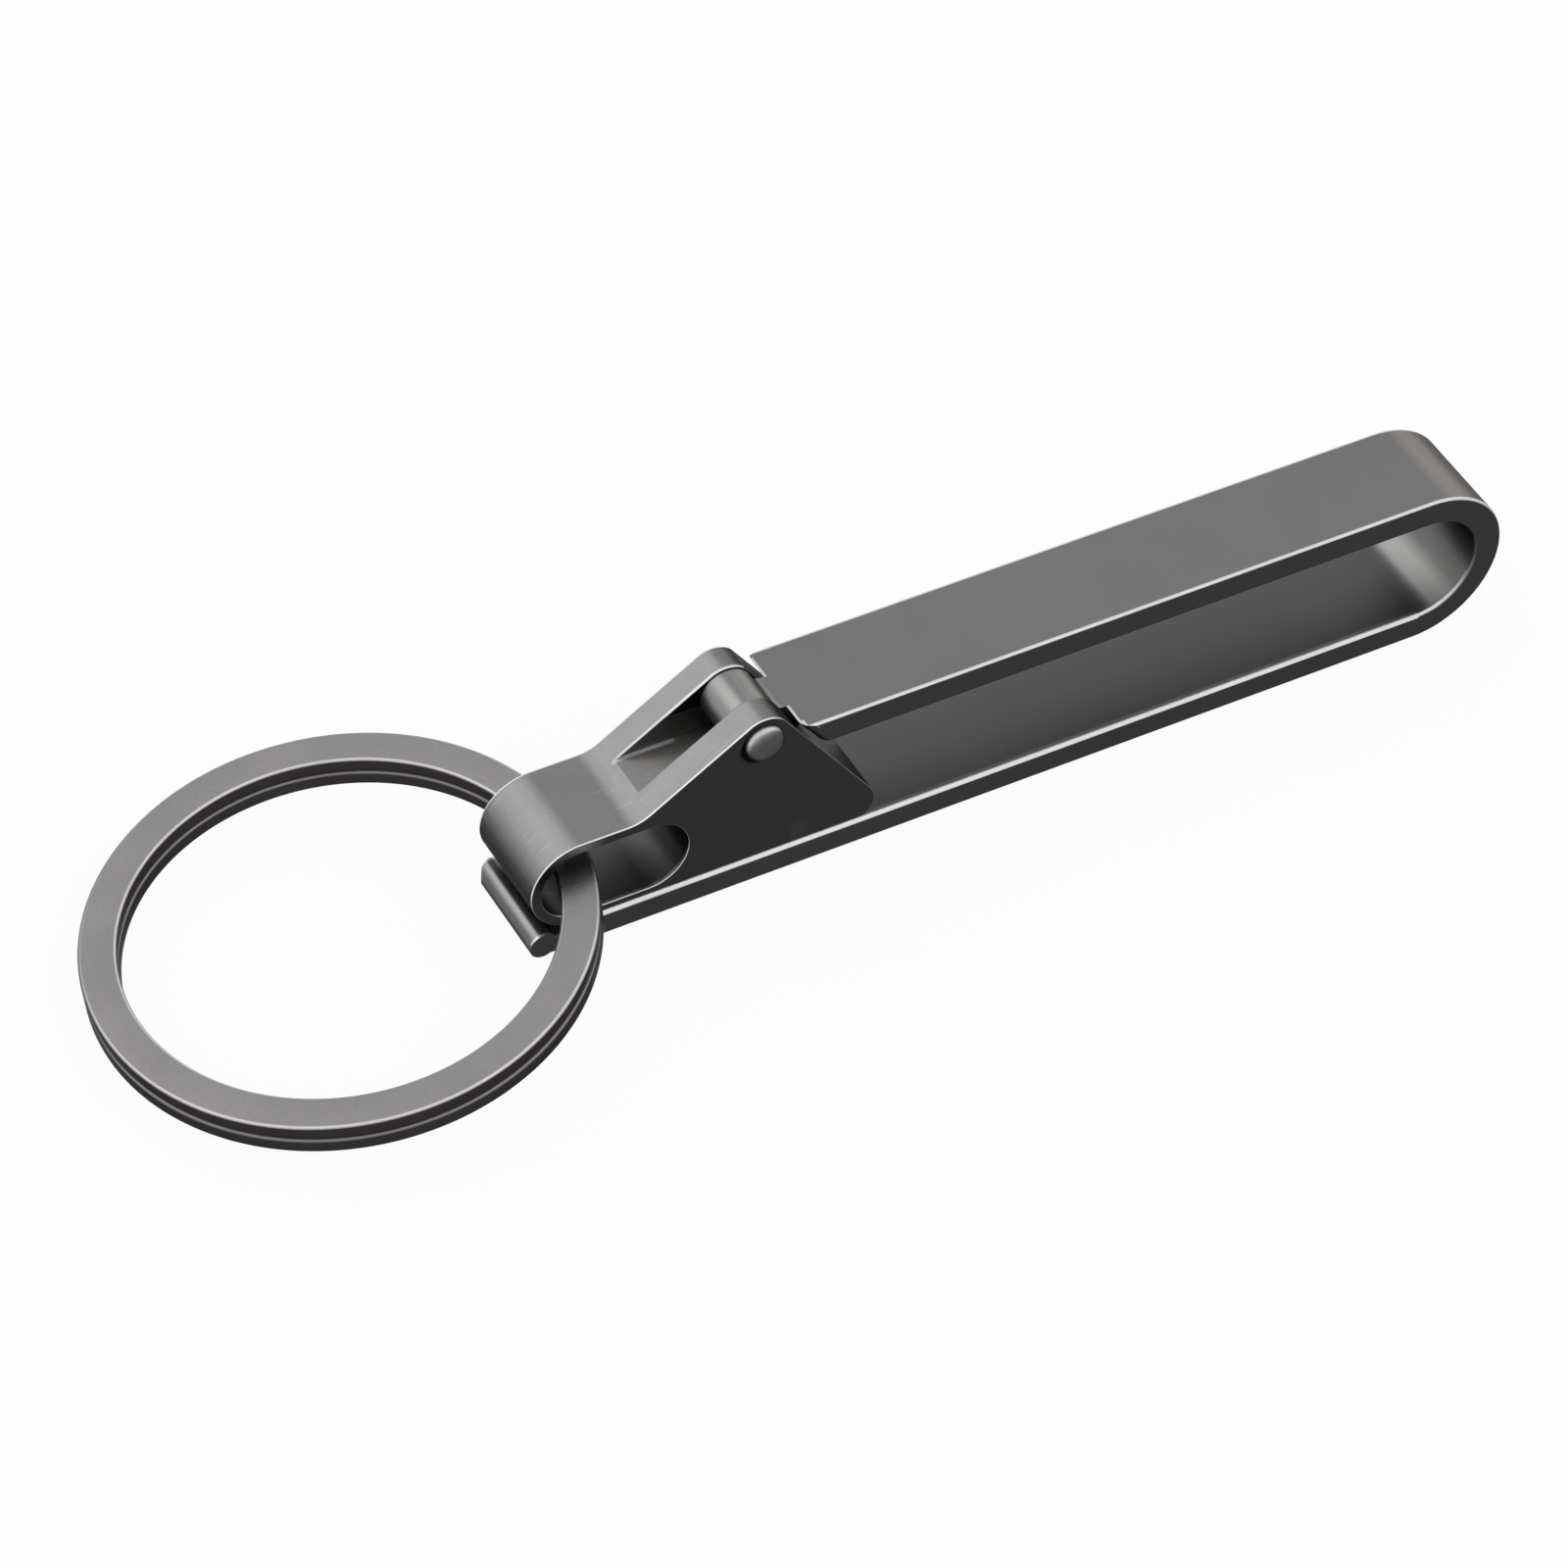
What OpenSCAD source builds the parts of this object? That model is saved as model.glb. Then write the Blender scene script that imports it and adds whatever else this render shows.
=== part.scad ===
// Belt key clip: a sprung strip bent to a U, a hinged latch with a slot for a
// key ring, and a two-turn split ring.
// Origin: on the underside of the lower arm, straight below the hinge axis.
// +X runs to the bend, +Z up, the clip's mid-plane is y = 0.

/* [Spring strip] */
// Width of the strip
clip_w = 8; // [6:0.5:12]
// Thickness of the strip
strip_t = 2.1; // [1.6:0.1:2.4]
// Height over both arms
clip_h = 12.85; // [12:0.05:14]
// Hinge axis to the outside of the bend
bend_reach = 59.1; // [40:0.1:80]
// Radius of the strip's long edges
strip_edge_r = 0.2; // [0.1:0.05:0.5]

/* [Thumb bead] */
// How far the tip of the lower arm stands out past the latch
tip_lead = 0.1; // [0:0.05:4]
// Radius of the bead
bead_r = 1.0; // [0.8:0.05:1.05]
// Radius of the tip's far corner, seen from above
tip_corner_r = 1.1; // [0.4:0.1:1.6]
// Depth of the scoop behind the bead
scoop_depth = 0.7; // [0.3:0.05:0.9]
// Radius of the scoop
scoop_r = 2.2; // [1.6:0.1:3]

/* [Hinge] */
// Height of the hinge axis over the top of the upper arm
hinge_rise = -0.1; // [-0.3:0.05:0.3]
// Radius of the latch's ears
ear_r = 2.05; // [1.8:0.05:2.2]
// Width of the knuckle between the ears
knuckle_w = 3.1; // [2:0.1:3.6]
// Gap between the knuckle and each ear
knuckle_side_gap = 0.08; // [0.05:0.01:0.15]
// How far the knuckle's radius stays inside the ears'
knuckle_inset = 0.1; // [0.05:0.05:0.3]
// Radius where the knuckle meets the top of the tongue
tongue_fillet_r = 1; // [0.6:0.1:1.4]
// Gap between the latch's back slope and the end of the upper arm
arm_end_gap = 0.35; // [0.2:0.05:0.8]
// Radius of the arm's near corner, seen from above
near_corner_r = 0.9; // [0.4:0.1:1.2]
// Radius of the arm's far corner, seen from above
far_corner_r = 0.6; // [0.2:0.1:1.2]

/* [Hinge pin] */
// Radius of the shank
pin_r = 0.9; // [0.7:0.05:1]
// Radius of the domed heads
head_r = 1.45; // [1.2:0.05:1.6]
// Height of the domed heads
head_h = 0.7; // [0.5:0.05:0.8]
// Height of the straight side under the dome
head_side = 0.4; // [0.2:0.05:0.4]
// Radial gap of the shank in the ears
ear_fit = 0.02; // [0.01:0.01:0.03]
// Radial gap of the shank in the knuckle
knuckle_fit = 0.04; // [0.03:0.01:0.08]

/* [Latch] */
// How far the latch's faces stay inside the strip's edges
latch_inset = 0.2; // [0:0.05:0.5]
// Gap between the latch and the lower arm
latch_gap = 0.06; // [0.05:0.01:0.2]
// Depth of the flat milled along the underside of the loop and the toe
base_flat = 0.25; // [0.1:0.05:0.4]
// How far the bridge lies below the underside of the upper arm
bridge_drop = 1.6; // [1.2:0.05:2]
// Slope of the latch's front flank
nose_slope = 33.6; // [31:0.2:36]
// Radius where the front flank meets the bridge
nose_fillet_r = 3; // [1:0.5:4]
// Hinge axis to the outside of the loop
loop_reach = 17.15; // [16.6:0.05:18]
// Length of the slot for the ring
slot_l = 11.05; // [9:0.1:11.4]
// Wall of the loop
loop_wall = 0.75; // [0.5:0.05:0.9]
// Hinge axis to the outside of the toe
toe_reach = 8.95; // [7:0.1:9.4]
// Radius of the toe
toe_r = 1.7; // [1.2:0.1:2]
// Height of the pocket's floor over the bridge
pocket_step = 0.65; // [0.3:0.05:0.8]

/* [Split ring] */
// Outer diameter of the ring
ring_d = 34.6; // [30:0.2:36]
// Width of the flat wire
wire_w = 2.62; // [2.4:0.02:3]
// Thickness of the flat wire
wire_t = 1.18; // [0.8:0.02:1.2]
// Gap between the two turns
turn_gap = 0.12; // [0.08:0.02:0.3]
// Slot's left end to the ring's inner edge at its right end
ring_end_gap = 2.3; // [2.1:0.05:2.5]
// How far the ring lies off the clip's mid-plane
ring_y = 0.6; // [0:0.05:2]
// Share of the slot's free height that is under the ring
ring_lift_share = 0.45; // [0.3:0.01:0.5]
// Tilt of the ring to one side
ring_roll = -1.5; // [-2:0.1:1]
// Angle that the jog between the turns takes
jog_angle = 24; // [16:1:30]
// Angle of the jog's middle from the ring's right end
jog_turn = -4; // [-8:1:2]

/* [Hidden] */
$fn = 96;
over = strip_t / 10;
hinge_z = clip_h + hinge_rise;
bend_r = clip_h / 2;
bend_x = bend_reach - bend_r;
bend_mid_r = bend_r - strip_t / 2;
arm_z = clip_h - strip_t;
knuckle_r = ear_r - knuckle_inset;
ear_slot_w = knuckle_w + 2 * knuckle_side_gap;
hinge_at = [0, hinge_z];
latch_w = clip_w - 2 * latch_inset;
base_z = strip_t + latch_gap;
outline_z = base_z - base_flat;
bridge_z = arm_z - bridge_drop;
slot_h = bridge_z - outline_z - 2 * loop_wall;
slot_r = slot_h / 2;
loop_r = slot_r + loop_wall;
loop_at = [loop_r - loop_reach, outline_z + loop_r];
slot_end_at = [loop_at.x + slot_l - slot_h, loop_at.y];
toe_at = [toe_reach - toe_r, outline_z + toe_r];
nose_n = [-sin(nose_slope), cos(nose_slope)];
fillet_z = bridge_z + nose_fillet_r;
fillet_x = ((fillet_z - hinge_z) * nose_n.y - ear_r - nose_fillet_r) / sin(nose_slope);
fillet_at = [fillet_x, fillet_z];
flat_share = 0.998;
toe_step = toe_at - hinge_at;
back_turn = atan2(toe_step.y, toe_step.x) - asin((ear_r - toe_r) / norm(toe_step));
back_n = [-sin(back_turn), cos(back_turn)];
end_offset = ear_r + arm_end_gap;
pocket_z = bridge_z + pocket_step;
tongue_x = (end_offset + near_corner_r + back_n.y * (hinge_z - arm_z)) / back_n.x;
tongue_fillet_z = clip_h + flat_share * tongue_fillet_r;
tongue_fillet_d = flat_share * (knuckle_r + tongue_fillet_r);
tongue_fillet_x = sqrt(pow(tongue_fillet_d, 2) - pow(tongue_fillet_z - hinge_z, 2));
tongue_fillet_at = [tongue_fillet_x, tongue_fillet_z];
tip_x = -loop_reach - tip_lead;
scoop_z = strip_t - scoop_depth + scoop_r;
scoop_share = 0.82;
scoop_half = sqrt(pow(scoop_r, 2) - pow(scoop_r - scoop_depth, 2));
scoop_x = tip_x + bead_r + scoop_share * scoop_half;
dome_h = head_h - head_side;
dome_r = (pow(head_r, 2) + pow(dome_h, 2)) / (2 * dome_h);
ring_ro = ring_d / 2;
ring_ri = ring_ro - wire_w;
turn_rise = wire_t + turn_gap;
ring_x = loop_wall + ring_end_gap - loop_reach - ring_ri;
ring_lift = ring_lift_share * (slot_h - turn_rise - wire_t);
ring_tilt = asin((outline_z + loop_wall + ring_lift) / (ring_ro + ring_ri));
ring_lean = acos(cos(ring_tilt) * cos(ring_roll));
ring_z = ring_ro * sin(ring_lean);
jog_start = jog_turn - jog_angle / 2;
jog_steps = 12;
jog_overlap = 1;
turn_angle = 360 - jog_angle;

// x of a line with normal n, offset d from the hinge axis, at height z
function line_x(n, d, z) = (d - n.y * (z - hinge_z)) / n.x;

// Extrudes an outline in x and z over the width w, about the mid-plane
module across(w) {
  rotate([90, 0, 0]) linear_extrude(height = w, center = true) children();
}

// Round bar of radius r along y through a point in x and z
module bar(at, r, w) {
  across(w) translate(at) circle(r = r);
}

// The strip's section: thickness along x, width along y, long edges rounded
module strip_section() {
  side_y = clip_w / 2 - strip_edge_r;
  side_x = strip_t / 2 - strip_edge_r;
  square([strip_t, 2 * side_y], center = true);
  square([2 * side_x, clip_w], center = true);
  for (sx = [-1, 1], sy = [-1, 1])
    translate([sx * side_x, sy * side_y]) circle(r = strip_edge_r);
}

// A straight arm that ends at x = end_x and meets the bend, above (side 1) or below (side -1)
module arm(side, end_x) {
  translate([bend_x, 0, bend_r]) rotate([0, -90, 0])
    linear_extrude(height = bend_x - end_x) translate([side * bend_mid_r, 0]) strip_section();
}

// The half circle that joins the two arms
module bend() {
  translate([bend_x, 0, bend_r]) rotate([90, 0, 0]) rotate([0, 0, -90])
    rotate_extrude(angle = 180) translate([bend_mid_r, 0]) strip_section();
}

// What is cut off the upper arm's end, a fixed gap away from the latch's back slope
module arm_end_cut() {
  low_x = line_x(back_n, end_offset, arm_z - over);
  top_x = line_x(back_n, end_offset, clip_h + over);
  across(clip_w + over)
    polygon([[-over, arm_z - over], [low_x, arm_z - over], [top_x, clip_h + over], [-over, clip_h + over]]);
}

// The waste outside a corner of radius r, where an end at x = end_x meets an edge of the strip
module corner_waste(end_x, side, r) {
  reach = flat_share * r;
  block = reach + over;
  difference() {
    translate([end_x + (reach - over) / 2, side * (clip_w - reach + over) / 2])
      square(block, center = true);
    translate([end_x + reach, side * (clip_w / 2 - reach)]) circle(r = r);
  }
}

// Rounds one corner of the upper arm's slanted end with the radius r
module corner_cut(side, r) {
  translate([0, 0, hinge_z]) rotate([0, -90 - back_turn, 0])
    linear_extrude(height = clip_h, center = true) corner_waste(end_offset, side, r);
}

// The tongue at the end of the upper arm, with the knuckle that the pin goes through
module tongue() {
  knuckle_end = hinge_at + (tongue_fillet_at - hinge_at) * knuckle_r / (knuckle_r + tongue_fillet_r);
  difference() {
    union() {
      bar(hinge_at, knuckle_r, knuckle_w);
      across(knuckle_w) polygon([
        [0, hinge_z - flat_share * knuckle_r],
        [knuckle_r, arm_z],
        [tongue_x, arm_z],
        [tongue_x, clip_h],
        [tongue_fillet_x, clip_h],
        knuckle_end,
        hinge_at
      ]);
    }
    bar(tongue_fillet_at, tongue_fillet_r, clip_w);
    bar(hinge_at, pin_r + knuckle_fit, clip_w);
  }
}

// Spring strip with tongue, knuckle, bend and thumb bead
module clip_body() color("dimgray") {
  difference() {
    union() {
      difference() {
        union() {
          arm(1, 0);
          bend();
          arm(-1, tip_x + bead_r);
        }
        bar([scoop_x, scoop_z], scoop_r, clip_w + over);
      }
      bar([tip_x + bead_r, bead_r], bead_r, clip_w);
    }
    arm_end_cut();
    corner_cut(-1, near_corner_r);
    corner_cut(1, far_corner_r);
    linear_extrude(height = clip_h, center = true) corner_waste(tip_x, 1, tip_corner_r);
  }
  tongue();
}

// The straight stretches of the latch's outline between ears, loop and toe
module latch_web() {
  foot_z = base_z - base_flat / 2;
  across(latch_w) polygon([
    hinge_at + flat_share * ear_r * back_n,
    toe_at + flat_share * toe_r * back_n,
    [toe_at.x, foot_z],
    [loop_at.x, foot_z],
    [loop_at.x, bridge_z],
    [fillet_at.x, bridge_z],
    fillet_at - nose_fillet_r * nose_n,
    hinge_at + flat_share * ear_r * nose_n
  ]);
}

// The round-ended slot that the key ring hangs in
module ring_slot() {
  bar(loop_at, slot_r, clip_w);
  bar(slot_end_at, slot_r, clip_w);
  across(clip_w) translate(loop_at - [0, slot_r])
    square([slot_end_at.x - loop_at.x, slot_h]);
}

// Hinged latch: two ears, bridge, slotted loop and toe
module latch() color("gray") {
  length = loop_reach + toe_reach;
  difference() {
    union() {
      latch_web();
      bar(hinge_at, ear_r, latch_w);
      bar(loop_at, loop_r, latch_w);
      bar(toe_at, toe_r, latch_w);
    }
    translate([-loop_reach, -clip_w / 2, outline_z - over]) cube([length, clip_w, base_flat + over]);
    bar(fillet_at, nose_fillet_r, clip_w);
    ring_slot();
    translate([-loop_reach, -ear_slot_w / 2, pocket_z]) cube([length, ear_slot_w, hinge_z]);
    bar(hinge_at, pin_r + ear_fit, clip_w);
  }
}

// Half of the pin's profile: radius along x, distance from the middle along y
module pin_profile() {
  face_y = latch_w / 2;
  square([pin_r, face_y]);
  intersection() {
    translate([0, face_y + head_h - dome_r]) circle(r = dome_r);
    translate([0, face_y]) square([head_r, head_h]);
  }
}

// Rivet with a domed head on both ends
module hinge_pin() color("darkgray") {
  translate([0, 0, hinge_z])
    for (turn = [90, -90]) rotate([turn, 0, 0]) rotate_extrude() pin_profile();
}

// One flat turn of the ring, from the angle start, its underside at height z
module ring_turn(start, z) {
  translate([0, 0, z]) rotate([0, 0, start])
    rotate_extrude(angle = turn_angle) translate([ring_ri, 0]) square([wire_w, wire_t]);
}

// Height of the falling wire's underside at share s of the jog
function jog_level(s) = turn_rise * (1 + cos(180 * s)) / 2;

// The stretch where the wire steps down from the upper turn to the lower one,
// with a short overlap into both
module ring_jog() {
  span = jog_angle + 2 * jog_overlap;
  ramp_y = ring_ri * sin(jog_angle / 2 - jog_overlap);
  flat_y = ring_ro * sin(span / 2) + over;
  falls = [for (i = [0:jog_steps]) [ramp_y * (2 * i / jog_steps - 1), jog_level(i / jog_steps)]];
  under = concat([[-flat_y, turn_rise]], falls, [[flat_y, 0]]);
  upper = [for (i = [len(under) - 1:-1:0]) under[i] + [0, wire_t]];
  rotate([0, 0, jog_turn]) intersection() {
    rotate([90, 0, 90]) linear_extrude(height = ring_ro) polygon(concat(under, upper));
    rotate([0, 0, -span / 2]) rotate_extrude(angle = span)
      translate([ring_ri, -over]) square([wire_w, turn_rise + wire_t + 2 * over]);
  }
}

// Split ring: two flat turns joined by the jog
module split_ring() color("silver") {
  translate([ring_x, ring_y, ring_z]) rotate([ring_roll, -ring_tilt, 0]) {
    ring_turn(jog_start + jog_angle, 0);
    ring_turn(jog_start + jog_angle, turn_rise);
    ring_jog();
  }
}

clip_body();
latch();
hinge_pin();
split_ring();
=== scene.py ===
import math

import bmesh
import bpy
from mathutils import Matrix, Vector


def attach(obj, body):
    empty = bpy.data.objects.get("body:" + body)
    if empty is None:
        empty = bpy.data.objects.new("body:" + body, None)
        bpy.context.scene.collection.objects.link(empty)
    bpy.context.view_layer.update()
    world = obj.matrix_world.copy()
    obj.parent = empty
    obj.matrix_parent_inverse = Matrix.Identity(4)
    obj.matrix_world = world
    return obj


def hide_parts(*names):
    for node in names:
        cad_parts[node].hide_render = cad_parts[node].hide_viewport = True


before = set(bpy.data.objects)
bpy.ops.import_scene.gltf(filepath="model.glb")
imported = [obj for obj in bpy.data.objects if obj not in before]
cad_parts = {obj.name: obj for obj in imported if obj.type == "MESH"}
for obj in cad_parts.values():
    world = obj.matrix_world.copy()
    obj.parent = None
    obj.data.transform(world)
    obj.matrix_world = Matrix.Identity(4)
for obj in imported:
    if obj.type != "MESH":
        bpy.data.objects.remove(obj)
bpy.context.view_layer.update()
mm = 0.001
print("frame loaded:", ", ".join(sorted(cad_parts)))


# sRGB hex to the linear RGBA that Blender's sockets take
def linearColor(hexColor):
    channels = [int(hexColor[i:i + 2], 16) / 255 for i in (1, 3, 5)]
    return [c / 12.92 if c <= 0.04045 else ((c + 0.055) / 1.055) ** 2.4 for c in channels] + [1.0]


# adds a node, sets its properties, then fills or links its inputs
def addNode(tree, kind, inputs=(), **settings):
    node = tree.nodes.new(kind)
    for name, value in settings.items():
        setattr(node, name, value)
    for key, value in (inputs.items() if isinstance(inputs, dict) else enumerate(inputs)):
        if isinstance(value, bpy.types.Node):
            value = value.outputs[0]
        if isinstance(value, bpy.types.NodeSocket):
            tree.links.new(value, node.inputs[key])
        else:
            node.inputs[key].default_value = value
    return node


# the two ends of a range, under the names that a Map Range node gives them
def fromSpan(span):
    return {"From Min": span[0], "From Max": span[1]}


finish = {
    "noiseSpan": (0.3, 0.7),  # the part of a noise's range that shows
    "scratchSpan": (0.72, 0.78), "scratchSlant": math.radians(12),
    "lightFacingSpan": (0.2, 0.6),  # cosine to the light direction, from no painted edge highlight to a full one
    "roughnessSwing": 0.05,
    "slantTint": "#B8B8B8"}  # holds the metal's tone where it is seen at a slant


# metal with painted light and shade: its tone follows how a face leans along the clip, its sides
# are painted darker as shade, and its edges get painted highlights
def metalMaterial(name, look):
    material = bpy.data.materials.new(name)
    material.use_nodes = True
    tree = material.node_tree
    tree.nodes.clear()
    place = addNode(tree, "ShaderNodeTexCoord")
    normal, spot = place.outputs["Normal"], place.outputs["Object"]

    # degrees that a face leans from upright: -90 looks left, 90 looks right, 180 looks down
    axes = addNode(tree, "ShaderNodeSeparateXYZ", (normal,))
    lean = addNode(tree, "ShaderNodeMath", (axes.outputs["X"], axes.outputs["Z"]), operation="ARCTAN2")
    along = addNode(tree, "ShaderNodeMapRange", {"Value": lean, **fromSpan((-math.pi, math.pi))})
    # painted light and shade: one tone for each lean, lighter where faces turn up and to the left, darker
    # where they turn away
    slopeShading = addNode(tree, "ShaderNodeValToRGB", (along,))
    stops = slopeShading.color_ramp.elements
    stops[0].color = stops[1].color = linearColor(look["underside"])
    for degrees, hexColor in look["slopeLightAndShade"]:
        stops.new((degrees + 180) / 360).color = linearColor(hexColor)

    # painted shade: the side faces, told apart along the axis, take a darker tone
    across = addNode(tree, "ShaderNodeVectorMath", (normal, look["axis"]), operation="DOT_PRODUCT")
    side = addNode(tree, "ShaderNodeMath", (across.outputs["Value"],), operation="ABSOLUTE")
    cut = addNode(tree, "ShaderNodeMapRange", {"Value": side, **fromSpan(look["cutFrom"])})
    tone = addNode(tree, "ShaderNodeMix", {
        "Factor": cut, 6: slopeShading.outputs["Color"], 7: linearColor(look["cut"])},
        data_type="RGBA").outputs[2]

    # an edge lies between a broad face and a side, or at the piece's rim, and gets a painted
    # highlight where it faces the light direction
    edge = addNode(tree, "ShaderNodeMapRange", {"Value": side, **fromSpan(look["edgeFrom"])})
    if "rimFrom" in look:
        parts = addNode(tree, "ShaderNodeSeparateXYZ", (spot,))
        offMiddle = addNode(tree, "ShaderNodeMath", (parts.outputs["Y"],), operation="ABSOLUTE")
        rim = addNode(tree, "ShaderNodeMapRange", {"Value": offMiddle, **fromSpan(look["rimFrom"])})
        edge = addNode(tree, "ShaderNodeMath", (edge, rim), operation="MAXIMUM")
    facing = addNode(tree, "ShaderNodeVectorMath", (normal, look["lightDirection"]), operation="DOT_PRODUCT")
    towardLight = addNode(tree, "ShaderNodeMapRange", {
        "Value": facing.outputs["Value"], **fromSpan(finish["lightFacingSpan"]), "To Min": look["leastHighlight"]})
    uncut = addNode(tree, "ShaderNodeMath", (1.0, cut), operation="SUBTRACT")
    litNotSide = addNode(tree, "ShaderNodeMath", (towardLight, uncut), operation="MULTIPLY")
    edgeHighlight = addNode(tree, "ShaderNodeMath", (edge, litNotSide), operation="MULTIPLY")
    # painted shade: below a height along the axis the edge highlight fades out
    if "lowerTurnShadeFrom" in look:
        height = addNode(tree, "ShaderNodeVectorMath", (spot, look["axis"]), operation="DOT_PRODUCT")
        aboveShade = addNode(tree, "ShaderNodeMapRange", {
            "Value": height.outputs["Value"], **fromSpan(look["lowerTurnShadeFrom"])})
        edgeHighlight = addNode(tree, "ShaderNodeMath", (edgeHighlight, aboveShade), operation="MULTIPLY")
    tone = addNode(tree, "ShaderNodeMix", {
        "Factor": edgeHighlight, 6: tone, 7: linearColor(look["highlightTone"])}, data_type="RGBA").outputs[2]

    # boxes of painted highlight and shade, each with a tone of its own, in mm: a box, as its middle and half
    # its size, and how far beyond it the tone reaches; fade is the share of that reach in which it dies away
    for patch in look["paintedLightPatches"].values():
        middle, half, reach = (
            [length * mm for length in patch[part]] for part in ("middle", "half", "reach"))
        near = addNode(tree, "ShaderNodeVectorMath", (spot, middle), operation="SUBTRACT")
        scaled = addNode(tree, "ShaderNodeVectorMath", (near, reach), operation="DIVIDE")
        apart = addNode(tree, "ShaderNodeVectorMath", (scaled,), operation="ABSOLUTE")
        boxHalf = [length / far for length, far in zip(half, reach)]
        past = addNode(tree, "ShaderNodeVectorMath", (apart, boxHalf), operation="SUBTRACT")
        beyond = addNode(tree, "ShaderNodeVectorMath", (past, (0, 0, 0)), operation="MAXIMUM")
        distance = addNode(tree, "ShaderNodeVectorMath", (beyond,), operation="LENGTH")
        share = addNode(tree, "ShaderNodeMapRange", {
            "Value": distance.outputs["Value"], **fromSpan((1.0, 1 - patch["fade"])),
            "To Max": patch["share"]})
        tone = addNode(tree, "ShaderNodeMix", {
            "Factor": share, 6: tone, 7: linearColor(patch["tone"])}, data_type="RGBA").outputs[2]

    # grain of the finish, slow cloudiness, and on brushed metal a few light scratches
    grain = addNode(tree, "ShaderNodeMapping", {"Vector": spot, "Scale": look["grainScale"]})
    fine = addNode(tree, "ShaderNodeTexNoise", {"Vector": grain, "Scale": 1.0, "Detail": 3.0})
    cloud = addNode(tree, "ShaderNodeTexNoise", {"Vector": spot, "Scale": look["cloudScale"], "Detail": 2.0})
    grainTone = addNode(tree, "ShaderNodeMapRange", {
        "Value": fine, **fromSpan(finish["noiseSpan"]),
        "To Min": 1 - look["grainTone"], "To Max": 1 + look["grainTone"]})
    cloudTone = addNode(tree, "ShaderNodeMapRange", {
        "Value": cloud, **fromSpan(finish["noiseSpan"]),
        "To Min": 1 - look["cloudTone"], "To Max": 1 + look["cloudTone"]})
    shade = addNode(tree, "ShaderNodeMath", (grainTone, cloudTone), operation="MULTIPLY")
    if "scratchScale" in look:
        strokes = addNode(tree, "ShaderNodeMapping", {
            "Vector": spot, "Rotation": (0, 0, finish["scratchSlant"]), "Scale": look["scratchScale"]})
        scratch = addNode(tree, "ShaderNodeTexNoise", {"Vector": strokes, "Scale": 1.0, "Detail": 0.0})
        scratchTone = addNode(tree, "ShaderNodeMapRange", {
            "Value": scratch, **fromSpan(finish["scratchSpan"]),
            "To Min": 1.0, "To Max": 1 + look["scratchTone"]})
        shade = addNode(tree, "ShaderNodeMath", (shade, scratchTone), operation="MULTIPLY")
    color = addNode(tree, "ShaderNodeVectorMath", {0: tone, "Scale": shade}, operation="SCALE")

    roughness = addNode(tree, "ShaderNodeMapRange", {
        "Value": fine, **fromSpan(finish["noiseSpan"]),
        "To Min": look["roughness"] - finish["roughnessSwing"],
        "To Max": look["roughness"] + finish["roughnessSwing"]})
    bump = addNode(tree, "ShaderNodeBump", {
        "Height": fine, "Strength": look["bump"], "Distance": look["bumpDepth"]})
    shader = addNode(tree, "ShaderNodeBsdfPrincipled", {
        "Base Color": color, "Metallic": 1.0, "Roughness": roughness, "Normal": bump,
        "Specular Tint": linearColor(finish["slantTint"])})
    addNode(tree, "ShaderNodeOutputMaterial", {"Surface": shader})
    return material


# a painted highlight line along the lower arm's inner edge, and one on the end of the upper arm
armEdgeHighlight = {"half": (33, 0.15, 0.13), "reach": (0.3, 0.04, 0.04),
           "fade": 0.5, "tone": "#E0E0E0", "share": 1.0}
armEndHighlight = {"half": (0.02, 0.9, 0.02), "reach": (0.14, 0.14, 0.14),
          "fade": 0.4, "tone": "#D4D4D4", "share": 1.0}

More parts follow.
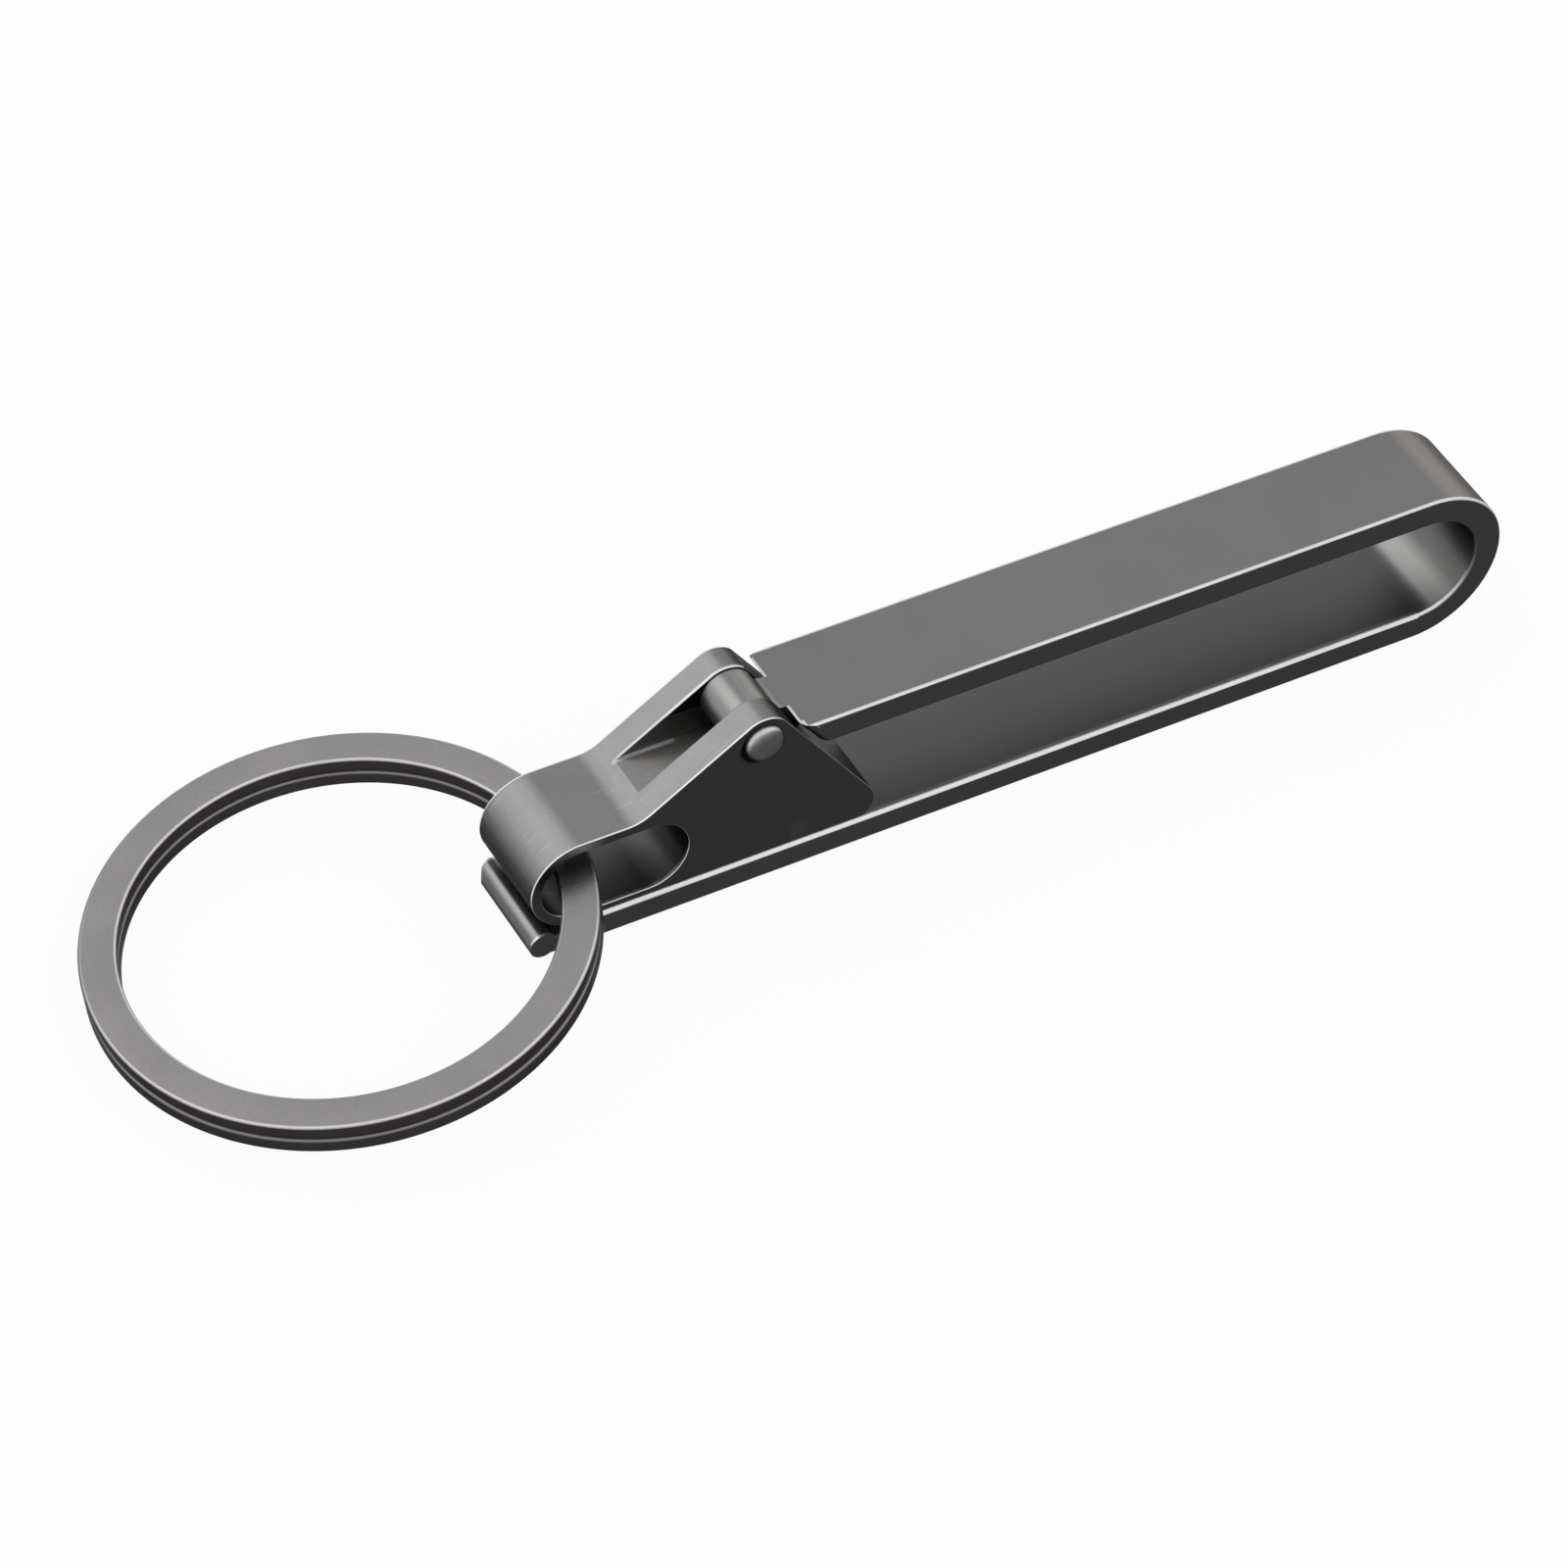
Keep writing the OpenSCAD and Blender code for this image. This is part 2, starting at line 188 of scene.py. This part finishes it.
# bead-blasted titanium: matt grey, a grain just too fine to see; light and shade by how faces lean, darker
# sides and bright edges are painted
stripTitanium = metalMaterial("titaniumBeadBlasted", {
    "underside": "#525252",
    "slopeLightAndShade": [(-115, "#343434"), (-90, "#4C4C4C"), (-68, "#707070"), (-50, "#7C7C7A"), (-36, "#A2A2A0"),
               (-22, "#B0B0AE"), (-11, "#6C6C6D"), (-4, "#6C6C6C"), (0, "#7D7D7D"), (9, "#82807E"),
               (18, "#989490"), (27, "#999591"), (36, "#787573"), (46, "#565452"), (56, "#3C3C3B"),
               (85, "#3A3A3A"), (110, "#4A4A4A")],
    "paintedLightPatches": {
        # painted shade: the lower arm's inner face darker, under the upper arm
        "armInsideShade": {"middle": (21.4, 0, 2.1), "half": (31.8, 3.4, 0.02), "reach": (1.6, 0.2, 0.3),
                      "fade": 1.0, "tone": "#5E5E5D", "share": 0.95},
        # painted highlights along the lower arm's two inner edges
        "farEdgeHighlight": {**armEdgeHighlight, "middle": (19.7, 3.9, 2)},
        "nearEdgeHighlight": {**armEdgeHighlight, "middle": (19.7, -3.9, 2)},
        # painted highlight: a light band over the top of the hinge knuckle
        "knuckle": {"middle": (-0.2, 0, 12.75), "half": (0.001, 1.6, 0.001), "reach": (2.4, 0.1, 2.4),
                    "fade": 0.25, "tone": "#A8A8A6", "share": 0.5},
        # painted shade: a near-black line in the gap beside the hinge knuckle
        "knuckleGroove": {"middle": (0, 1.52, 12.75), "half": (0.001, 0.04, 0.001),
                          "reach": (2.4, 0.06, 2.4), "fade": 0.3, "tone": "#141414", "share": 0.9},
        # painted highlights on the upper arm's end edge and its near corner
        "farEndHighlight": {**armEndHighlight, "middle": (2.98, 2.5, 12.8)},
        "nearEndHighlight": {**armEndHighlight, "middle": (2.98, -2.45, 12.8), "half": (0.02, 0.8, 0.02)},
        "nearCornerHighlight": {**armEndHighlight, "middle": (3.12, -3.5, 12.8), "half": (0.1, 0.2, 0.02)}},
    # painted shade on the sides, painted highlights on the edges that face the light direction
    "axis": (0, 1, 0), "cutFrom": (0.93, 0.995), "cut": "#393939",
    "edgeFrom": (0.1, 0.3), "rimFrom": (3.76 * mm, 3.82 * mm),
    "lightDirection": (0.1, 0, 0.995), "leastHighlight": 0.0, "highlightTone": "#DEDEDE",
    "grainScale": (9000, 9000, 9000), "grainTone": 0.05,  # 0.11 mm grit
    "cloudScale": 180, "cloudTone": 0.03,
    "roughness": 0.42, "bump": 0.15, "bumpDepth": 0.02 * mm})
# titanium blasted like the strip, then brushed lengthways on its upper faces; light and shade by how faces
# lean, darker sides, bright edges and the boxes below are painted
latchTitanium = metalMaterial("titaniumBrushed", {
    "underside": "#505050",
    "slopeLightAndShade": [(-150, "#4A4A4A"), (-115, "#282828"), (-92, "#303030"), (-76, "#505050"), (-62, "#848484"),
               (-46, "#9C9C9C"), (-33, "#989898"), (-22, "#A0A0A0"), (-12, "#A4A4A4"), (-4, "#909090"),
               (0, "#848484"), (17, "#7C7A76"), (35, "#4C4C4A"), (50, "#343938"), (90, "#2E3131"),
               (125, "#4A4A4A")],
    "paintedLightPatches": {
        # painted shade: the slot's inside darker
        "slotShade": {"middle": (-10.875, 0, 5.53), "half": (2.655, 3.5, 0.001), "reach": (2.89, 0.06, 2.89),
                     "fade": 0.004, "tone": "#505050", "share": 0.85},
        # painted light and shade: one even mid-grey over the recess's floor and walls, a little darker than
        # the open top
        "pocket": {"middle": (-5.5, 0, 11), "half": (4.4, 1.6, 1.15), "reach": (0.1, 0.1, 0.1),
                   "fade": 0.4, "tone": "#7E7C7A", "share": 0.8},
        # painted highlights along the recess's far inner corner and the far ear's inner rim
        "pocketCorner": {"middle": (-6.5, 1.63, 9.8), "half": (2.6, 0.01, 0.01), "reach": (0.25, 0.25, 0.25),
                         "fade": 0.8, "tone": "#C8C8C8", "share": 1.0},
        "pocketRim": {"middle": (-3.3, 1.75, 11.85), "half": (4.5, 0.04, 3.15), "reach": (0.3, 0.06, 0.3),
                      "fade": 0.5, "tone": "#DCDCDC", "share": 1.0},
        # painted highlight: the near face lighter round the top of the loop
        "loopFaceHighlight": {"middle": (-14.6, -3.8, 9.1), "half": (1, 0.001, 0.3), "reach": (2, 0.04, 0.9),
                    "fade": 1.0, "tone": "#747474", "share": 0.8},
        # painted shadow: a near-black ring round the pin heads where they sit on the ears
        "pinSeatShadow": {"middle": (-0.28, 0, 12.58), "half": (0.001, 4.2, 0.001), "reach": (1.6, 1.6, 1.6),
                     "fade": 0.12, "tone": "#0E0E0E", "share": 1.0}},
    # painted shade on the sides, painted highlights on the edges that face the light direction
    "axis": (0, 1, 0), "cutFrom": (0.93, 0.995), "cut": "#323232",
    "edgeFrom": (0.12, 0.35), "rimFrom": (3.66 * mm, 3.72 * mm),
    "lightDirection": (-0.5, 0, 0.87), "leastHighlight": 0.2, "highlightTone": "#F0F0F0",
    "grainScale": (1400, 9000, 1400), "grainTone": 0.04,  # 0.7 mm long, 0.11 mm wide
    "cloudScale": 220, "cloudTone": 0.03,
    "scratchScale": (330, 7000, 330), "scratchTone": 0.2,  # 3 mm long, 0.14 mm wide
    "roughness": 0.42, "bump": 0.15, "bumpDepth": 0.02 * mm})
# plain titanium, peened round; its shading by how faces lean is painted, lighter toward the upper left, with
# a painted highlight on its upper rim
pinTitanium = metalMaterial("titaniumPeened", {
    "underside": "#303030",
    "slopeLightAndShade": [(-150, "#2C2C2C"), (-110, "#303030"), (-78, "#6C6C6C"), (-42, "#B4B4B4"), (-8, "#BABABA"),
               (30, "#6C6C6C"), (80, "#3E3E3E"), (130, "#2C2C2C")],
    "paintedLightPatches": {},
    # painted shade on the heads' faces, painted highlight on the rim facing the light direction
    "axis": (0, 1, 0), "cutFrom": (0.6, 0.98), "cut": "#505050",
    "edgeFrom": (0.9, 0.6), "lightDirection": (-0.35, 0, 0.94), "leastHighlight": 0.0, "highlightTone": "#D0D0D0",
    "grainScale": (7000, 7000, 7000), "grainTone": 0.05,  # 0.14 mm grit
    "cloudScale": 500, "cloudTone": 0.05,
    "roughness": 0.40, "bump": 0.15, "bumpDepth": 0.02 * mm})
# tumbled steel: slightly warm grey, matt; its sides painted dark as shade and the rims of the flat wire's
# upper turn painted bright as highlights
ringSteel = metalMaterial("steelTumbled", {
    "underside": "#959393",
    "slopeLightAndShade": [],
    "paintedLightPatches": {
        # painted shadow: the ring darker where it runs under the loop's upper wall
        "inSlotShadow": {"middle": (-12.4, 0.4, 6.4), "half": (1.4, 2.6, 1.4), "reach": (1.6, 2.2, 1.6),
                   "fade": 1.0, "tone": "#2A2826", "share": 0.85}},
    # painted shade on the wire's inner and outer sides, painted highlights on its upper rims
    "axis": (-0.129, 0.026, 0.991), "cutFrom": (0.85, 0.35), "cut": "#343230",  # axis of the turns
    "edgeFrom": (0.98, 0.9), "lowerTurnShadeFrom": (7.6 * mm, 7.95 * mm),  # painted shade: no edge highlight on the lower turn
    "lightDirection": (0.2, -0.7, 0.69), "leastHighlight": 0.0, "highlightTone": "#DEDCDB",
    "grainScale": (6500, 6500, 6500), "grainTone": 0.07,  # 0.15 mm grit
    "cloudScale": 200, "cloudTone": 0.04,
    "roughness": 0.38, "bump": 0.2, "bumpDepth": 0.03 * mm})
print("materials made")

mergeWithin = 0.0005 * mm
flatWithin = math.radians(0.4)  # faces of the CAD's mesh that turn less are one face
broadFacesOnly = 100  # the heaviest weight for the broad faces, which keeps them flat to the light


# grows the round of the strip's inner edges along the lower arm, and less up the bend
def growInnerRound(shape, edge):
    above, below = 0.05 * edge["round"], 1.2 * edge["round"]  # what still counts as the round
    for vert in shape.verts:
        x, y, z = vert.co
        fromBend = Vector((max(x - edge["bendX"], 0), 0, z - edge["bendZ"]))
        depth = fromBend.length - edge["bendInside"]
        inward = edge["halfWidth"] - abs(y)
        onArm = x >= edge["growFrom"] and z <= edge["bendZ"]
        if onArm and inward <= below and -above < depth < below:
            alongArm = min(max(x / edge["bendX"], 0), 1)
            growth = edge["growth"] * (1 - edge["thinning"] * alongArm)
            growth *= (edge["bendZ"] - z) / edge["bendInside"]
            vert.co += fromBend.normalized() * depth * growth
            vert.co.y = math.copysign(edge["halfWidth"] - inward * (1 + growth), y)


# a CAD node's mesh, merged, with its sharp edges rounded
def roundedCopy(node, name, material, edge):
    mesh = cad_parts[node].data.copy()
    mesh.name = name
    piece = bpy.data.objects.new(name, mesh)
    bpy.context.scene.collection.objects.link(piece)
    shape = bmesh.new()
    shape.from_mesh(mesh)
    bmesh.ops.remove_doubles(shape, verts=shape.verts, dist=mergeWithin)
    bmesh.ops.dissolve_limit(shape, angle_limit=flatWithin, verts=shape.verts, edges=shape.edges)
    if "growth" in edge:
        growInnerRound(shape, edge)
    shape.to_mesh(mesh)
    shape.free()
    for attribute in [a for a in mesh.attributes if a.name in ("custom_normal", "sharp_face", "sharp_edge")]:
        mesh.attributes.remove(attribute)
    mesh.materials.clear()
    mesh.materials.append(material)
    bevel = piece.modifiers.new("edges", "BEVEL")
    bevel.width = edge["radius"]
    bevel.segments = edge["segments"]
    bevel.limit_method = "ANGLE"
    bevel.angle_limit = edge["fromAngle"]
    bevel.miter_outer = "MITER_ARC"
    mesh.shade_smooth()
    flat = piece.modifiers.new("flat", "WEIGHTED_NORMAL")
    flat.weight = broadFacesOnly
    graph = bpy.context.evaluated_depsgraph_get()
    piece.data = bpy.data.meshes.new_from_object(piece.evaluated_get(graph))
    piece.modifiers.clear()
    return piece


stripEdge = {
    "radius": 0.18 * mm, "segments": 3, "fromAngle": math.radians(35),
    "growth": 0.95, "growFrom": -14 * mm,
    "thinning": 0.55,  # share of the growth that is gone where the bend starts
    "round": 0.2 * mm, "halfWidth": 4 * mm,  # from here on as the CAD has them
    "bendX": 52.675 * mm, "bendZ": 6.425 * mm, "bendInside": 4.325 * mm}
latchEdge = {"radius": 0.25 * mm, "segments": 3, "fromAngle": math.radians(35)}
clipStrip = roundedCopy("clip_body", "clipStrip", stripTitanium, stripEdge)
latchBlock = roundedCopy("latch", "latchBlock", latchTitanium, latchEdge)
print("strip and latch rounded:", len(clipStrip.data.polygons), len(latchBlock.data.polygons), "faces")


# a geometry tree with one named input per size, in metres or radians
def nodeTree(name, sizes):
    tree = bpy.data.node_groups.new(name, "GeometryNodeTree")
    tree.is_modifier = True
    tree.interface.new_socket("Geometry", in_out="OUTPUT", socket_type="NodeSocketGeometry")
    for size in sizes:
        tree.interface.new_socket(size, in_out="INPUT", socket_type="NodeSocketFloat")
    return tree, tree.nodes.new("NodeGroupInput").outputs, tree.nodes.new("NodeGroupOutput")


def endTree(tree, shape, output, material):
    real = addNode(tree, "GeometryNodeRealizeInstances", {"Geometry": shape})
    dressed = addNode(tree, "GeometryNodeSetMaterial", {"Geometry": real, "Material": material})
    tree.links.new(dressed.outputs[0], output.inputs[0])


# runs the tree on an empty mesh and keeps the result as a plain mesh
def bakedPiece(name, tree, sizes, sharpFrom):
    piece = bpy.data.objects.new(name, bpy.data.meshes.new(name))
    bpy.context.scene.collection.objects.link(piece)
    modifier = piece.modifiers.new(name, "NODES")
    modifier.node_group = tree
    for item in tree.interface.items_tree:
        if item.in_out == "INPUT":
            modifier[item.identifier] = float(sizes[item.name])
    graph = bpy.context.evaluated_depsgraph_get()
    mesh = bpy.data.meshes.new_from_object(piece.evaluated_get(graph))
    piece.modifiers.clear()
    piece.data = mesh
    shape = bmesh.new()
    shape.from_mesh(mesh)
    bmesh.ops.remove_doubles(shape, verts=shape.verts, dist=mergeWithin)
    bmesh.ops.recalc_face_normals(shape, faces=shape.faces)
    shape.to_mesh(mesh)
    shape.free()
    mesh.shade_smooth()
    mesh.set_sharp_from_angle(angle=math.radians(sharpFrom))
    print(name, "made:", len(mesh.polygons), "faces")
    return piece


ringSizes = {
    "outerDiameter": 34.6 * mm, "wireWidth": 2.62 * mm, "wireThickness": 1.18 * mm, "turnGap": 0.12 * mm,
    "wireEdge": 0.28 * mm,  # radius of the flat wire's edges
    "jogAngle": math.radians(24), "jogTurn": math.radians(-4),
    "tilt": math.radians(-7.415), "roll": math.radians(-1.5),  # as the ring lies at rest
    "centerX": -28.78 * mm, "centerY": 0.6 * mm, "centerZ": 2.2776 * mm}


# one flat wire that falls from the upper turn to the lower one in a short jog
def splitRingTree(sizes):
    tree, size, output = nodeTree("splitRingWire", sizes)
    wireSteps, edgeSteps = 720, 4
    line = addNode(tree, "GeometryNodeCurvePrimitiveLine", {"End": (1, 0, 0)})
    wire = addNode(tree, "GeometryNodeResampleCurve", {"Curve": line, "Count": wireSteps})
    share = addNode(tree, "GeometryNodeSplineParameter").outputs["Factor"]
    turn = addNode(tree, "ShaderNodeMath", (2 * math.pi, size["jogAngle"]), operation="SUBTRACT")
    whole = addNode(tree, "ShaderNodeMath", (4 * math.pi, size["jogAngle"]), operation="SUBTRACT")
    along = addNode(tree, "ShaderNodeMath", (share, whole), operation="MULTIPLY")
    jogEnd = addNode(tree, "ShaderNodeMath", (
        size["jogAngle"], 0.5, size["jogTurn"]), operation="MULTIPLY_ADD")
    angle = addNode(tree, "ShaderNodeMath", (along, jogEnd), operation="ADD")
    step = addNode(tree, "ShaderNodeMath", (size["wireThickness"], size["turnGap"]), operation="ADD")
    rise = addNode(tree, "ShaderNodeMapRange", {
        "Value": along, "From Min": turn, "From Max": 2 * math.pi, "To Min": step, "To Max": 0.0},
        interpolation_type="SMOOTHSTEP")
    height = addNode(tree, "ShaderNodeMath", (size["wireThickness"], 0.5, rise), operation="MULTIPLY_ADD")
    across = addNode(tree, "ShaderNodeMath", (size["outerDiameter"], size["wireWidth"]), operation="SUBTRACT")
    middle = addNode(tree, "ShaderNodeMath", (across, 0.5), operation="MULTIPLY")
    start = addNode(tree, "ShaderNodeCombineXYZ", {"X": middle, "Z": height})
    point = addNode(tree, "ShaderNodeVectorRotate", {"Vector": start, "Angle": angle}, rotation_type="Z_AXIS")
    placed = addNode(tree, "GeometryNodeSetPosition", {"Geometry": wire, "Position": point})
    upright = addNode(tree, "GeometryNodeSetCurveNormal", {"Curve": placed}, mode="Z_UP")
    flat = addNode(tree, "GeometryNodeCurvePrimitiveQuadrilateral", {
        "Width": size["wireWidth"], "Height": size["wireThickness"]})
    soft = addNode(tree, "GeometryNodeFilletCurve", {
        "Curve": flat, "Count": edgeSteps, "Radius": size["wireEdge"], "Limit Radius": True}, mode="POLY")
    swept = addNode(tree, "GeometryNodeCurveToMesh", {
        "Curve": upright, "Profile Curve": soft, "Fill Caps": True})
    lean = addNode(tree, "ShaderNodeCombineXYZ", {"X": size["roll"], "Y": size["tilt"]})
    center = addNode(tree, "ShaderNodeCombineXYZ", (size["centerX"], size["centerY"], size["centerZ"]))
    laid = addNode(tree, "GeometryNodeTransform", {
        "Geometry": swept, "Translation": center, "Rotation": lean})
    endTree(tree, laid, output, ringSteel)
    return tree


splitRing = bakedPiece("splitRing", splitRingTree(ringSizes), ringSizes, sharpFrom=40)

pinSizes = {
    "shankRadius": 0.9 * mm, "faceDistance": 3.8 * mm, "headRadius": 1.45 * mm, "headHeight": 0.7 * mm,
    "squareness": 0.85,  # 1 is a round dome, less is flatter with a steeper side
    "axisHeight": 12.75 * mm}


# half the pin is lathed from a line, then stands at both sides
def hingePinTree(sizes):
    tree, size, output = nodeTree("hingePinHeads", sizes)
    domeSteps, roundSteps = 22, 64
    hair = 0.001 * mm  # keeps the head's first ring off the shank's end
    line = addNode(tree, "GeometryNodeCurvePrimitiveLine", {"End": (1, 0, 0)})
    path = addNode(tree, "GeometryNodeResampleCurve", {"Curve": line, "Count": domeSteps + 2})
    index = addNode(tree, "GeometryNodeInputIndex")
    onFace = addNode(tree, "ShaderNodeMath", (index, 0.5), operation="GREATER_THAN")
    onHead = addNode(tree, "ShaderNodeMath", (index, 1.5), operation="GREATER_THAN")
    sweep = addNode(tree, "ShaderNodeMapRange", {
        "Value": index, "From Min": 2.0, "From Max": domeSteps + 1.0, "To Max": math.pi / 2})
    sine = addNode(tree, "ShaderNodeMath", (sweep,), operation="SINE")
    cosine = addNode(tree, "ShaderNodeMath", (sweep,), operation="COSINE")
    dome = addNode(tree, "ShaderNodeMath", (sine, size["squareness"]), operation="POWER")
    waist = addNode(tree, "ShaderNodeMath", (cosine, size["squareness"]), operation="POWER")
    face = addNode(tree, "ShaderNodeMath", (size["faceDistance"], onFace), operation="MULTIPLY")
    height = addNode(tree, "ShaderNodeMath", (size["headHeight"], dome, face), operation="MULTIPLY_ADD")
    apart = addNode(tree, "ShaderNodeMath", (onHead, hair, height), operation="MULTIPLY_ADD")
    head = addNode(tree, "ShaderNodeMath", (size["headRadius"], waist), operation="MULTIPLY")
    radius = addNode(tree, "GeometryNodeSwitch", {
        "Switch": onHead, "False": size["shankRadius"], "True": head}, input_type="FLOAT")
    point = addNode(tree, "ShaderNodeCombineXYZ", {"Y": apart})
    placed = addNode(tree, "GeometryNodeSetPosition", {"Geometry": path, "Position": point})
    circle = addNode(tree, "GeometryNodeCurvePrimitiveCircle", {"Resolution": roundSteps, "Radius": 1.0})
    half = addNode(tree, "GeometryNodeCurveToMesh", {
        "Curve": placed, "Profile Curve": circle, "Scale": radius})
    twin = addNode(tree, "GeometryNodeTransform", {"Geometry": half, "Rotation": (0, 0, math.pi)})
    both = addNode(tree, "GeometryNodeJoinGeometry")
    for part in (half, twin):
        tree.links.new(part.outputs[0], both.inputs[0])
    lift = addNode(tree, "ShaderNodeCombineXYZ", {"Z": size["axisHeight"]})
    raised = addNode(tree, "GeometryNodeTransform", {"Geometry": both, "Translation": lift})
    endTree(tree, raised, output, pinTitanium)
    return tree


hingePin = bakedPiece("hingePin", hingePinTree(pinSizes), pinSizes, sharpFrom=50)

for piece, node, body, slot in (
        (clipStrip, "clip_body", "clip_body", "strip_titanium"),
        (latchBlock, "latch", "latch", "latch_titanium"),
        (hingePin, "hinge_pin", "latch", "pin_titanium"),
        (splitRing, "split_ring", "split_ring", "ring_metal")):
    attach(piece, body)
    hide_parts(node)

studio = {
    "floorWhite": "#EDEDED", "floorGlow": 0.94, "skyLight": 0.92,
    "floorHalf": 3, "floorDrop": 0.02 * mm,  # metres; the drop keeps floor and clip from flickering
    "lamps": {  # place, width and height in metres, watts
        "keyBackLeft": ((-0.45, 0.55, 0.6), (0.5, 0.5), 0.45),
        "edgeFront": ((0.25, -0.55, 0.5), (0.5, 0.25), 0.2)},
    "aim": (0.01, 0, 0.006)}

# the camera, gloss and glass see the floor almost white; to all other light it is plain paint
half, drop = studio["floorHalf"], studio["floorDrop"]
floorMesh = bpy.data.meshes.new("floor")
corners = [(-half, -half, -drop), (half, -half, -drop), (half, half, -drop), (-half, half, -drop)]
floorMesh.from_pydata(corners, [], [(0, 1, 2, 3)])
floor = bpy.data.objects.new("floor", floorMesh)
bpy.context.scene.collection.objects.link(floor)
floorPaint = bpy.data.materials.new("floorPaint")
floorPaint.use_nodes = True
floorTree = floorPaint.node_tree
floorTree.nodes.clear()
path = addNode(floorTree, "ShaderNodeLightPath")
mirrored = addNode(floorTree, "ShaderNodeMath", (
    path.outputs["Is Glossy Ray"], path.outputs["Is Transmission Ray"]), operation="MAXIMUM")
seen = addNode(floorTree, "ShaderNodeMath", (path.outputs["Is Camera Ray"], mirrored), operation="MAXIMUM")
glowing = addNode(floorTree, "ShaderNodeMath", (seen, studio["floorGlow"]), operation="MULTIPLY")
plain = addNode(floorTree, "ShaderNodeBsdfDiffuse", {"Color": linearColor(studio["floorWhite"])})
glow = addNode(floorTree, "ShaderNodeEmission", {"Color": linearColor("#FFFFFF"), "Strength": 1.0})
mixed = addNode(floorTree, "ShaderNodeMixShader", (glowing, plain, glow))
addNode(floorTree, "ShaderNodeOutputMaterial", {"Surface": mixed})
floorMesh.materials.append(floorPaint)

world = bpy.data.worlds.new("studio")
world.use_nodes = True
worldTree = world.node_tree
worldTree.nodes.clear()
path = addNode(worldTree, "ShaderNodeLightPath")
sky = addNode(worldTree, "ShaderNodeBackground", {
    "Color": linearColor("#FFFFFF"), "Strength": studio["skyLight"]})
white = addNode(worldTree, "ShaderNodeBackground", {"Color": linearColor("#FFFFFF"), "Strength": 1.0})
seenSky = addNode(worldTree, "ShaderNodeMixShader", (path.outputs["Is Camera Ray"], sky, white))
addNode(worldTree, "ShaderNodeOutputWorld", {"Surface": seenSky})
bpy.context.scene.world = world

for name, (place, size, power) in studio["lamps"].items():
    lamp = bpy.data.lights.new(name, "AREA")
    lamp.shape = "RECTANGLE"
    lamp.size, lamp.size_y = size
    lamp.energy = power
    holder = bpy.data.objects.new(name, lamp)
    holder.location = place
    holder.rotation_euler = (Vector(studio["aim"]) - Vector(place)).to_track_quat("-Z", "Y").to_euler()
    bpy.context.scene.collection.objects.link(holder)
print("studio set")

# the camera stands where the photograph's stood, found from the clip's own corners
cameraSettings = {
    "place": (-157.679 * mm, -263.025 * mm, 314.848 * mm),
    "right": (0.874176, -0.483449, 0.045754), "up": (0.315785, 0.637514, 0.702748),
    "lens": 148.852, "sensor": 36,  # mm
    "clip": (0.01, 20)}  # metres
cameraData = bpy.data.cameras.new("photoCamera")
cameraData.lens = cameraSettings["lens"]
cameraData.sensor_width = cameraSettings["sensor"]
cameraData.clip_start, cameraData.clip_end = cameraSettings["clip"]
camera = bpy.data.objects.new("photoCamera", cameraData)
right, up = Vector(cameraSettings["right"]).normalized(), Vector(cameraSettings["up"])
back = right.cross(up).normalized()
turned = Matrix((right, back.cross(right), back)).transposed().to_4x4()
camera.matrix_world = Matrix.Translation(cameraSettings["place"]) @ turned
bpy.context.scene.collection.objects.link(camera)
bpy.context.scene.camera = camera
bpy.context.scene.view_settings.view_transform = "Standard"

print("scene ready")
